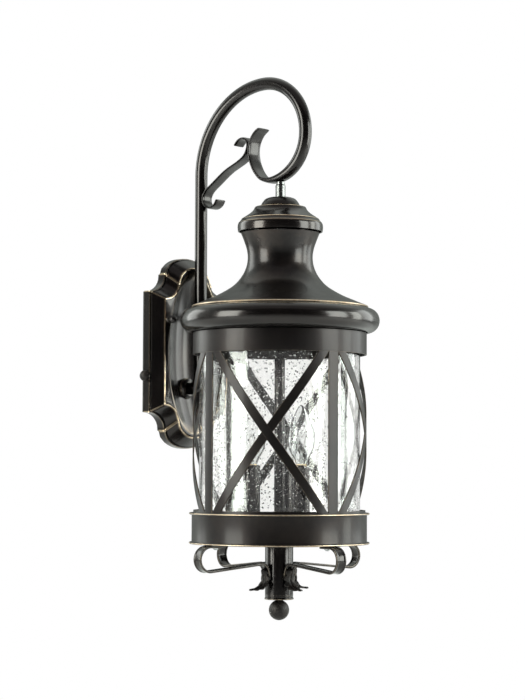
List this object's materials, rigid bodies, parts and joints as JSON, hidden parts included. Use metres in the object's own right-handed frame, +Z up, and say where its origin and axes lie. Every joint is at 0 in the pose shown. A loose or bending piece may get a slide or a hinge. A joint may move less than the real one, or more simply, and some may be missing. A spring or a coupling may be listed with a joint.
{
  "type": "outdoor wall lantern",
  "caption": "Round glass wall lantern in a crossed-strap metal cage, hung from a scrolled tube arm on a scalloped wall plate.",
  "frame": {"origin": "centre of the wall plate's back, on the wall's surface", "axes": "+Z up, +Y into the wall, the room at -Y, +X to the right when facing the wall"},
  "size_m": [0.256, 0.306, 0.7013],
  "materials": {
    "dark_bronze": "satin oil-rubbed bronze, edges rubbed to warm copper",
    "bright_nickel": "bright nickel",
    "zinc_steel": "zinc-plated steel",
    "brass": "plain brass",
    "seeded_glass": "clear glass with small bubbles and slight waves",
    "clear_bulb_glass": "thin clear glass",
    "socket_plastic": "off-white moulded lampholder",
    "rubber_seal": "black rubber and foam"
  },
  "bodies": {
    "wall_mount": {"mounting_bracket": "zinc_steel", "bracket_stud_left": "zinc_steel", "bracket_stud_right": "zinc_steel", "ground_screw": "brass", "wall_gasket": "rubber_seal", "wall_plate": "dark_bronze", "arm_boss": "dark_bronze", "arm_lock_nut": "zinc_steel", "arm_tube": "dark_bronze", "scroll_brace": "dark_bronze", "hang_stem": "bright_nickel"},
    "lantern": {"cage": "dark_bronze", "roof": "dark_bronze", "stepped_cap": "dark_bronze", "roof_rim": "dark_bronze", "bottom_ring": "dark_bronze", "column": "dark_bronze", "top_cap": "dark_bronze", "glass_cylinder": "seeded_glass", "glass_top_seal": "rubber_seal", "glass_bottom_seal": "rubber_seal", "strap_scroll_1": "dark_bronze", "strap_scroll_2": "dark_bronze", "strap_scroll_3": "dark_bronze", "strap_scroll_4": "dark_bronze", "top_plate": "dark_bronze", "lamp_pan": "dark_bronze", "bottom_plate": "dark_bronze", "center_rod": "dark_bronze", "candle_sleeve_1": "dark_bronze", "lamp_socket_1": "socket_plastic", "candle_sleeve_2": "dark_bronze", "lamp_socket_2": "socket_plastic", "candle_sleeve_3": "dark_bronze", "lamp_socket_3": "socket_plastic", "scroll_leaf_1": "dark_bronze", "scroll_leaf_2": "dark_bronze", "scroll_leaf_3": "dark_bronze", "scroll_leaf_4": "dark_bronze", "roof_nut": "zinc_steel", "pan_nut": "zinc_steel", "strap_screw_1": "dark_bronze", "cage_rivet_1": "dark_bronze", "strap_screw_2": "dark_bronze", "cage_rivet_2": "dark_bronze", "strap_screw_3": "dark_bronze", "cage_rivet_3": "dark_bronze", "strap_screw_4": "dark_bronze", "cage_rivet_4": "dark_bronze"},
    "bulb_1": {"bulb_base_1": "brass", "bulb_glass_1": "clear_bulb_glass"},
    "bulb_2": {"bulb_base_2": "brass", "bulb_glass_2": "clear_bulb_glass"},
    "bulb_3": {"bulb_base_3": "brass", "bulb_glass_3": "clear_bulb_glass"},
    "wall_nut_left": {"wall_nut_left": "dark_bronze"},
    "wall_nut_right": {"wall_nut_right": "dark_bronze"},
    "side_knob_left": {"side_knob_left": "dark_bronze"},
    "side_knob_right": {"side_knob_right": "dark_bronze"},
    "ball_finial": {"ball_finial": "dark_bronze"}
  },
  "joints": [
    {"name": "lantern_turn", "type": "hinge", "parent": "wall_mount", "child": "lantern", "pos_m": [0, -0.178, 0.194], "axis": [0, 0, 1], "range_deg": [-150, 150]},
    {"name": "wall_nut_left_turn", "type": "hinge", "parent": "wall_mount", "child": "wall_nut_left", "pos_m": [-0.052, -0.035, 0.042], "axis": [0, -1, 0], "continuous": true},
    {"name": "side_knob_left_turn", "type": "hinge", "parent": "wall_mount", "child": "side_knob_left", "pos_m": [-0.074, -0.008, -0.032], "axis": [-1, 0, 0], "continuous": true},
    {"name": "wall_nut_right_turn", "type": "hinge", "parent": "wall_mount", "child": "wall_nut_right", "pos_m": [0.052, -0.035, 0.042], "axis": [0, -1, 0], "continuous": true},
    {"name": "side_knob_right_turn", "type": "hinge", "parent": "wall_mount", "child": "side_knob_right", "pos_m": [0.074, -0.008, -0.032], "axis": [1, 0, 0], "continuous": true},
    {"name": "bulb_1_turn", "type": "hinge", "parent": "lantern", "child": "bulb_1", "pos_m": [-0.00065, -0.21499, -0.146], "axis": [0, 0, 1], "continuous": true},
    {"name": "bulb_2_turn", "type": "hinge", "parent": "lantern", "child": "bulb_2", "pos_m": [0.03236, -0.16006, -0.146], "axis": [0, 0, 1], "continuous": true},
    {"name": "bulb_3_turn", "type": "hinge", "parent": "lantern", "child": "bulb_3", "pos_m": [-0.03172, -0.15894, -0.146], "axis": [0, 0, 1], "continuous": true},
    {"name": "ball_finial_turn", "type": "hinge", "parent": "lantern", "child": "ball_finial", "pos_m": [0, -0.178, -0.333], "axis": [0, 0, 1], "continuous": true}
  ]
}
